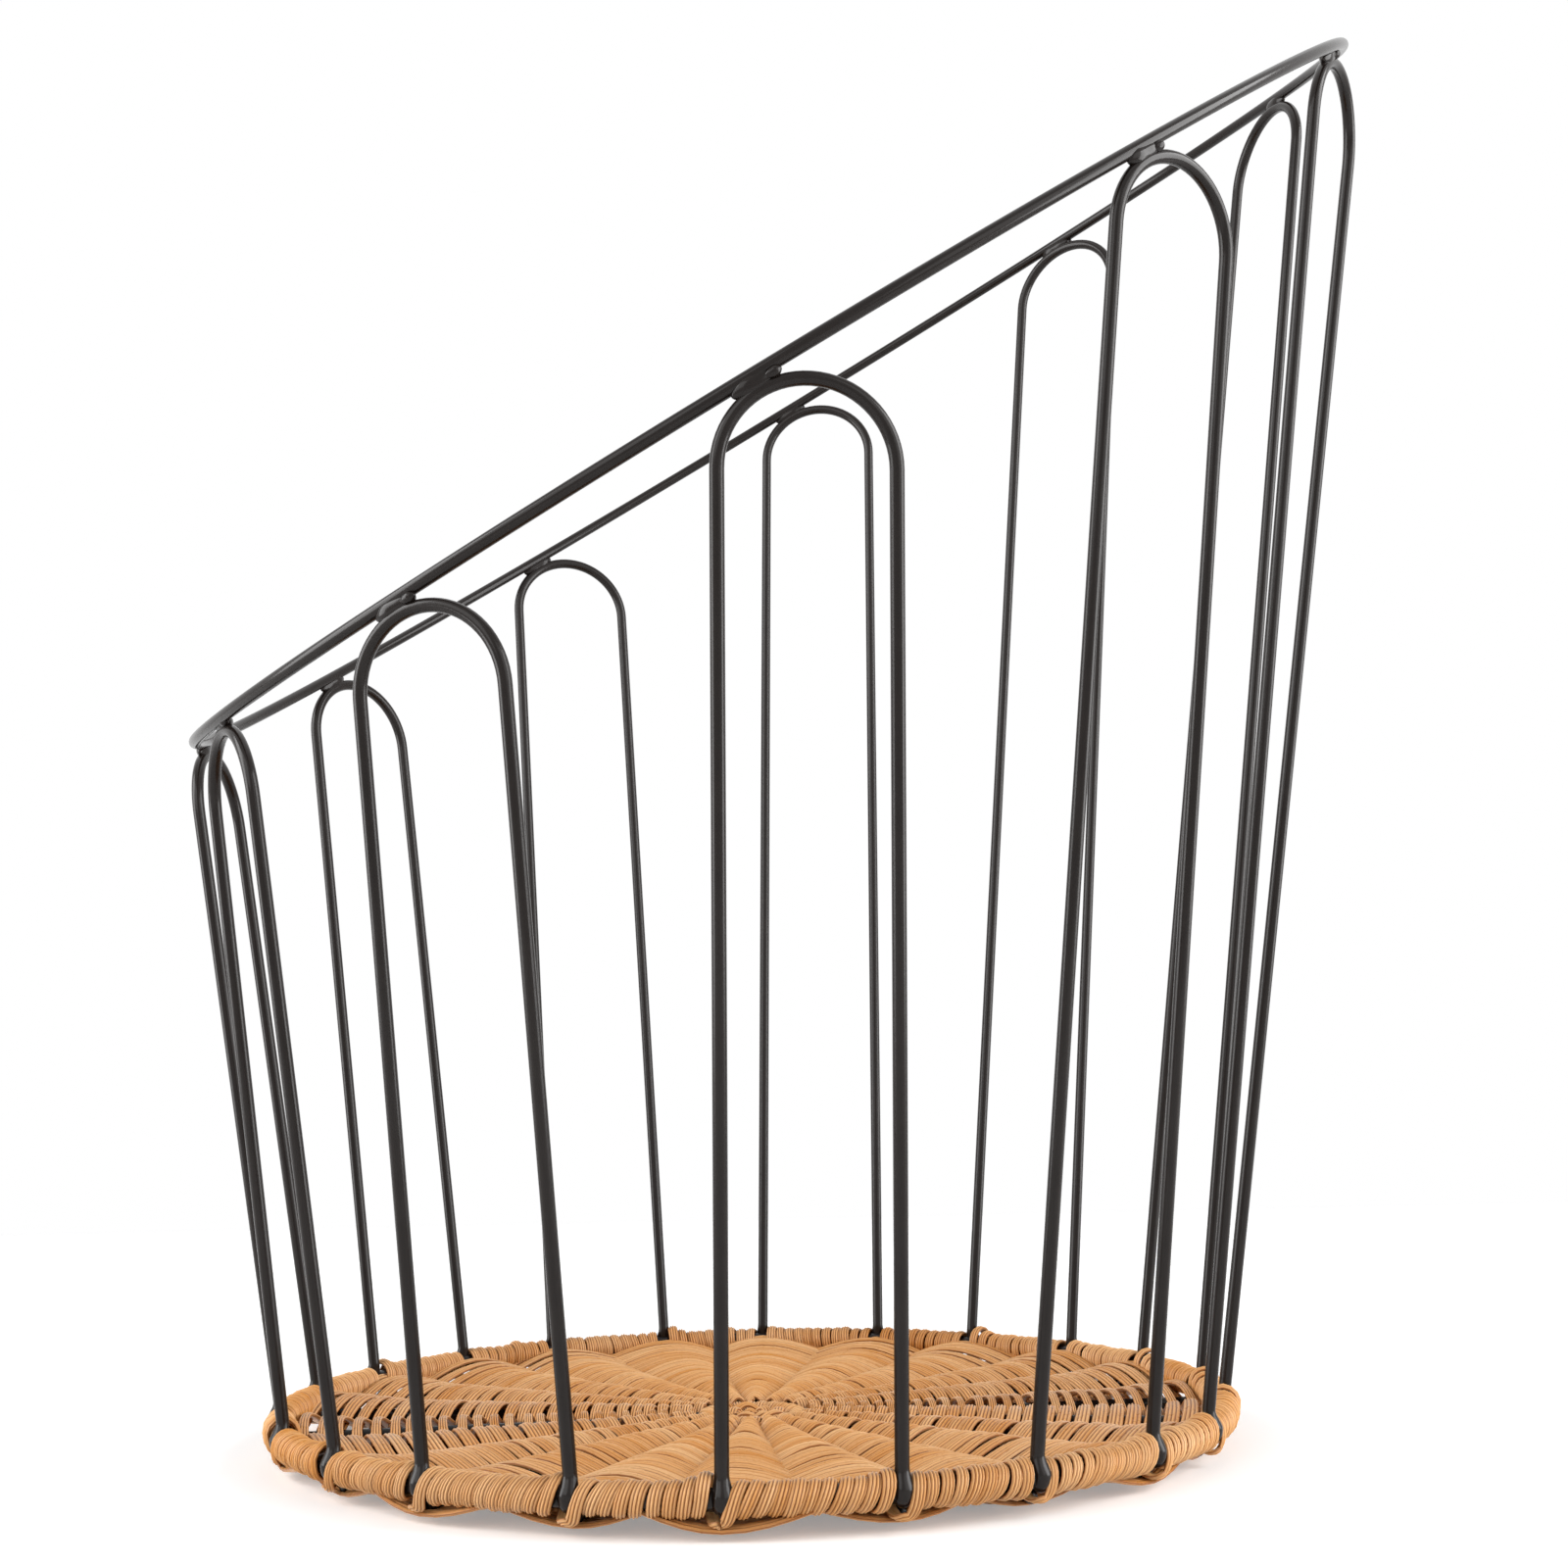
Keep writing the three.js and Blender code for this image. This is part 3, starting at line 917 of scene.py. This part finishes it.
@dataclass
class RimBinding:
    """One strip wound round the rim rod, passing outside and under each foot."""

    sizes: BasketSizes
    # The edges carry darker painted shade, standing for the shade between the turns.
    strip: Strip = field(default_factory=lambda: Strip(width=2.5, crown=0.38, edge_shade=0.9))
    turn_pitch: float = 2.5
    steps_per_turn: int = 16
    fine_steps: int = 2001
    approach: float = 2.6
    departure: float = 3.6
    pass_turn: float = -50.0
    pass_steps: int = 14
    pass_drop: float = 1.7
    pass_spread: float = 2.6
    pass_phase: float = 45.0
    heap_place: float = 3.4
    heap_spread: float = 2.0
    heap_height: float = 1.0
    heap_spacing: float = 9.0
    bed: float = 0.06
    slack: float = 0.20
    loose_from: float = 0.72
    loose_full: float = 0.8
    loose_spacing: float = 1.6
    loose_height: float = 0.75
    shift: Wandering = Wandering(0.28, 1.2)
    skew: float = 0.60
    skew_spacing: float = 4.0
    shingle: float = 4.0
    roll_change: Wandering = Wandering(9.0, 0.8)
    tone: Tone = Tone(0.42, (Wandering(0.30, 7.0), Wandering(0.18)))
    seed: int = 3

    def bay(self, start: float, end: float) -> tuple[Array, Array, Array, Array]:
        """Stations of the winding over one bay between two legs.

        The turn round the rod is 2 pi n g(u), where the pace of g is even in mid bay, falls to
        nothing on the approach to a leg and picks up again on the departure from it.

        Args:
            start: Azimuth of the first leg.
            end: Azimuth of the next leg.

        Returns:
            Azimuth, turn within the bay, and distance from the last leg and to the next one.
        """
        length = (end - start) * self.sizes.ring_radius
        turns = round((length - (self.approach + self.departure) / 2.0) / self.turn_pitch)
        fine = np.linspace(0.0, 1.0, self.fine_steps)
        pace = smooth_step(0.0, self.departure, fine * length)
        pace = pace * smooth_step(0.0, self.approach, (1.0 - fine) * length)
        rise = np.concatenate([[0.0], np.cumsum((pace[1:] + pace[:-1]) / 2.0)])
        rise = rise / rise[-1]
        near = np.cumsum(bell(np.minimum(fine, 1.0 - fine) * length, self.pass_spread))
        effort = turns * self.steps_per_turn * rise + self.pass_steps * near / near[-1]
        count = turns * self.steps_per_turn + self.pass_steps
        share = np.interp(np.linspace(0.0, effort[-1], count, endpoint=False), effort, fine)
        turn = 2.0 * np.pi * turns * np.interp(share, fine, rise)
        return start + (end - start) * share, turn, share * length, (1.0 - share) * length

    def stations(self) -> tuple[Array, Array, Array, Array]:
        """Stations of all the bays in a row.

        Returns:
            Azimuth, turn round the rod, and distance from the last leg and to the next one.
        """
        legs = np.append(self.sizes.leg_azimuths, self.sizes.leg_azimuths[0] + 2.0 * np.pi)
        bays = [self.bay(start, end) for start, end in zip(legs[:-1], legs[1:])]
        azimuth, turn, passed, ahead = (np.concatenate(column) for column in zip(*bays))
        return azimuth, np.unwrap(turn) + math.radians(self.pass_turn), passed, ahead

    def build(self) -> MeshBuilder:
        """Winds the strip at B (cos w, sin w) round the rod.

        The turns shift a little from one to the next, a few loops stand loose, those before a leg
        heap up by E exp(-((d - F) / G)^2), and at each leg the strip drops by D exp(-(d / S)^2) to
        pass outside and under the foot.

        Returns:
            The collected mesh.
        """
        rng = np.random.default_rng(self.seed)
        azimuth, turn, passed, ahead = self.stations()
        place = (turn - turn[0]) / (2.0 * np.pi)
        under = bell(np.minimum(passed, ahead), self.pass_spread)
        heap = bell(ahead - self.heap_place, self.heap_spread) * np.maximum(np.sin(turn), 0.0)
        loose = smooth_step(self.loose_from, 1.0, wander(rng, place, self.loose_spacing))
        loose = loose * smooth_step(0.0, self.loose_full, np.sin(turn))
        lift = self.slack * (1.0 + wander(rng, place)) + self.loose_height * loose * (1.0 - under)
        lift = lift + self.heap_height * heap * (1.0 + wander(rng, place, self.heap_spacing))
        radius = self.sizes.ring_wire_radius + self.strip.thickness / 2.0 + self.bed + lift
        shift = self.shift.at(rng, place)
        shift = shift + self.skew * np.sin(turn) * (1.0 + wander(rng, place, self.skew_spacing))
        azimuth = azimuth + shift * (1.0 - under) / self.sizes.ring_radius
        facing = outward(azimuth) * np.cos(turn)[:, None] + UP * np.sin(turn)[:, None]
        core = outward(azimuth) * self.sizes.ring_radius + UP * self.sizes.ring_height
        path = core + facing * radius[:, None]
        low = 0.5 + 0.5 * np.cos(turn + math.radians(self.pass_phase))
        path[:, 2] -= self.pass_drop * under * low**2
        tone = self.tone.at(rng, place)
        roll = np.radians(self.shingle + self.roll_change.at(rng, place))
        builder = MeshBuilder()
        self.strip.skin(builder, path, facing, roll, tone)
        return builder

    def dress(self, finish: bpy.types.Material) -> None:
        """Builds the winding and gives it its finish."""
        settle(self.build().build("rim_binding_strip"), finish, Slot.STRIP, "rim_binding")


@dataclass
class CentreKnot:
    """Small spiral round the eye and the close winding that hides the hub ring."""

    sizes: BasketSizes
    strip: Strip = field(default_factory=lambda: Strip(width=2.5))
    wrap_turns: int = 24
    steps_per_turn: int = 16
    wrap_tone: Tone = Tone(0.45, (Wandering(0.3, 0.07),))
    eye_radius: float = 1.7
    eye_rise: float = 0.9
    eye_swing: float = 0.5
    edge_swing: float = 1.5
    laps: float = 3.0
    lap_pitch: float = 2.0
    steps_per_lap: int = 84
    waves: int = 7
    lap_tone: Tone = Tone(0.45, (Wandering(0.3, 0.21),))
    lap_roll: Wandering = Wandering(8.0, 0.13)
    seed: int = 11

    def wrap(self, builder: MeshBuilder, rng: np.random.Generator) -> None:
        """Winds a strip round the hub ring, at B (cos w, sin w) round its wire.

        Args:
            builder: Mesh that takes the strip.
            rng: Seeded source of its tone.
        """
        share = np.linspace(0.0, 1.0, self.wrap_turns * self.steps_per_turn + 1)
        azimuth = 2.0 * np.pi * share
        turn = self.wrap_turns * azimuth
        facing = outward(azimuth) * np.cos(turn)[:, None] + UP * np.sin(turn)[:, None]
        core = outward(azimuth) * self.sizes.hub_radius + UP * self.sizes.spoke_height
        path = core + facing * (self.sizes.wire_radius + self.strip.thickness / 2.0)
        self.strip.skin(builder, path, facing, np.zeros_like(share), self.wrap_tone.at(rng, share))

    def eye(self, builder: MeshBuilder, rng: np.random.Generator) -> None:
        """Weaves a strip out from the eye: r = R + p n in lap n, z = H + h + S cos(pi W n).

        An odd W sets each lap against the last.

        Args:
            builder: Mesh that takes the strip.
            rng: Seeded source of its tone and roll.
        """
        lap = np.linspace(0.0, self.laps, round(self.laps * self.steps_per_lap) + 1)
        path = outward(2.0 * np.pi * lap) * (self.eye_radius + self.lap_pitch * lap)[:, None]
        swing = self.eye_swing + (self.edge_swing - self.eye_swing) * lap / self.laps
        wave = np.cos(np.pi * self.waves * lap)
        path[:, 2] = self.sizes.spoke_height + self.eye_rise + swing * wave
        tone = self.lap_tone.at(rng, lap)
        roll = np.radians(self.lap_roll.at(rng, lap))
        self.strip.skin(builder, path, np.broadcast_to(UP, path.shape), roll, tone)

    def dress(self, finish: bpy.types.Material) -> None:
        """Builds the winding and the eye as one piece and gives it its finish.

        Args:
            finish: Finish of the strip.
        """
        rng = np.random.default_rng(self.seed)
        builder = MeshBuilder()
        self.wrap(builder, rng)
        self.eye(builder, rng)
        settle(builder.build("centre_knot_strips"), finish, Slot.STRIP, "centre_knot")


@dataclass
class Studio:
    """Pale floor, soft lamps, white surround and the photograph's camera.

    Floor and lamps are in metres, the camera's place in millimetres and its angles in radians.
    """

    floor_half: float = 0.62
    floor_colour: Colour = (0.82, 0.82, 0.82, 1.0)
    floor_roughness: float = 0.9
    glow_reach: tuple[float, float] = (0.10, 0.40)
    glow: tuple[float, float] = (0.28, 0.42)
    surround: float = 0.18
    lamp_target: tuple[float, float, float] = (0.0, 0.0, 0.12)
    focal_pixels: float = 2073.0
    image_pixels: float = 1600.0
    principal: tuple[float, float] = (779.5, 797.0)
    place: tuple[float, float, float] = (5.3, -455.7, 78.95)
    pitch: float = 0.1395
    roll: float = -0.0207
    sensor_width: float = 36.0
    clip_start: float = 0.01

    def floor(self) -> None:
        """Flat white floor that keeps the object's shadow and fades to full white round it."""
        half = self.floor_half
        mesh = bpy.data.meshes.new("floor")
        outline = [(-half, -half, 0.0), (half, -half, 0.0), (half, half, 0.0), (-half, half, 0.0)]
        mesh.from_pydata(outline, [], [(0, 1, 2, 3)])
        plane = bpy.data.objects.new("floor", mesh)
        bpy.context.scene.collection.objects.link(plane)
        graph = NodeGraph(bpy.data.materials.new("floor_white"))
        away = graph.node("ShaderNodeVectorMath", {0: graph.place()}, operation="LENGTH")
        glow = graph.ramp(away.outputs["Value"], self.glow_reach, self.glow)
        surface = {
            "Base Color": self.floor_colour,
            "Roughness": self.floor_roughness,
            "Emission Color": WHITE,
            "Emission Strength": graph.math("MULTIPLY", graph.seen(), glow),
        }
        graph.feed(graph.shader, surface)
        mesh.materials.append(graph.owner)

    def world(self) -> None:
        """White surround: full white where it is seen, softer where it lights the object."""
        world = bpy.data.worlds.new("studio")
        bpy.context.scene.world = world
        graph = NodeGraph(world, "Background")
        strength = graph.ramp(graph.seen(), (0.0, 1.0), (self.surround, 1.0))
        graph.feed(graph.shader, {"Color": WHITE, "Strength": strength})

    def lamps(self) -> None:
        """Soft lamps aimed at the middle of the basket."""
        for light in Light:
            place, width, height, power = light.value
            lamp = bpy.data.lights.new(light.name.lower(), "AREA")
            lamp.shape = "RECTANGLE"
            lamp.size = width
            lamp.size_y = height
            lamp.energy = power
            holder = bpy.data.objects.new(light.name.lower(), lamp)
            ray = unit(np.array(place) - np.array(self.lamp_target))
            side = unit(np.cross(UP, ray))
            turn = Matrix(np.stack([side, np.cross(ray, side), ray], 1).tolist()).to_4x4()
            holder.matrix_world = Matrix.Translation(place) @ turn
            bpy.context.scene.collection.objects.link(holder)

    def camera(self) -> None:
        """Camera fitted to the photograph, from its axes right, up and backward."""
        forward = np.array([0.0, math.cos(self.pitch), math.sin(self.pitch)])
        up = np.array([0.0, -math.sin(self.pitch), math.cos(self.pitch)])
        right = np.array([1.0, 0.0, 0.0])
        level = math.cos(self.roll) * right + math.sin(self.roll) * up
        above = math.cos(self.roll) * up - math.sin(self.roll) * right
        lens = bpy.data.cameras.new("camera")
        lens.sensor_width = self.sensor_width
        lens.lens = self.focal_pixels / self.image_pixels * self.sensor_width
        lens.shift_x = 0.5 - self.principal[0] / self.image_pixels
        lens.shift_y = self.principal[1] / self.image_pixels - 0.5
        lens.clip_start = self.clip_start
        holder = bpy.data.objects.new("camera", lens)
        turn = Matrix(np.stack([level, above, -forward], 1).tolist()).to_4x4()
        holder.matrix_world = Matrix.Translation(np.array(self.place) * MM) @ turn
        bpy.context.scene.collection.objects.link(holder)
        bpy.context.scene.camera = holder

    def dress(self) -> None:
        """Sets the stage round the basket."""
        self.camera()
        self.floor()
        self.world()
        self.lamps()
        bpy.context.scene.view_settings.view_transform = "Standard"


def main() -> None:
    """Builds every piece in order."""
    logging.basicConfig(level=logging.INFO, format="%(name)s: %(message)s")
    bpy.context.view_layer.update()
    sizes = BasketSizes()
    coat = CoatFinish().material()
    strip = StripFinish().material()
    Studio().dress()
    WireCage(sizes).dress(coat)
    BaseFrame(sizes).dress(coat)
    WovenBase(sizes).dress(strip)
    RimBinding(sizes).dress(strip)
    CentreKnot(sizes).dress(strip)


if __name__ == "__main__":
    main()
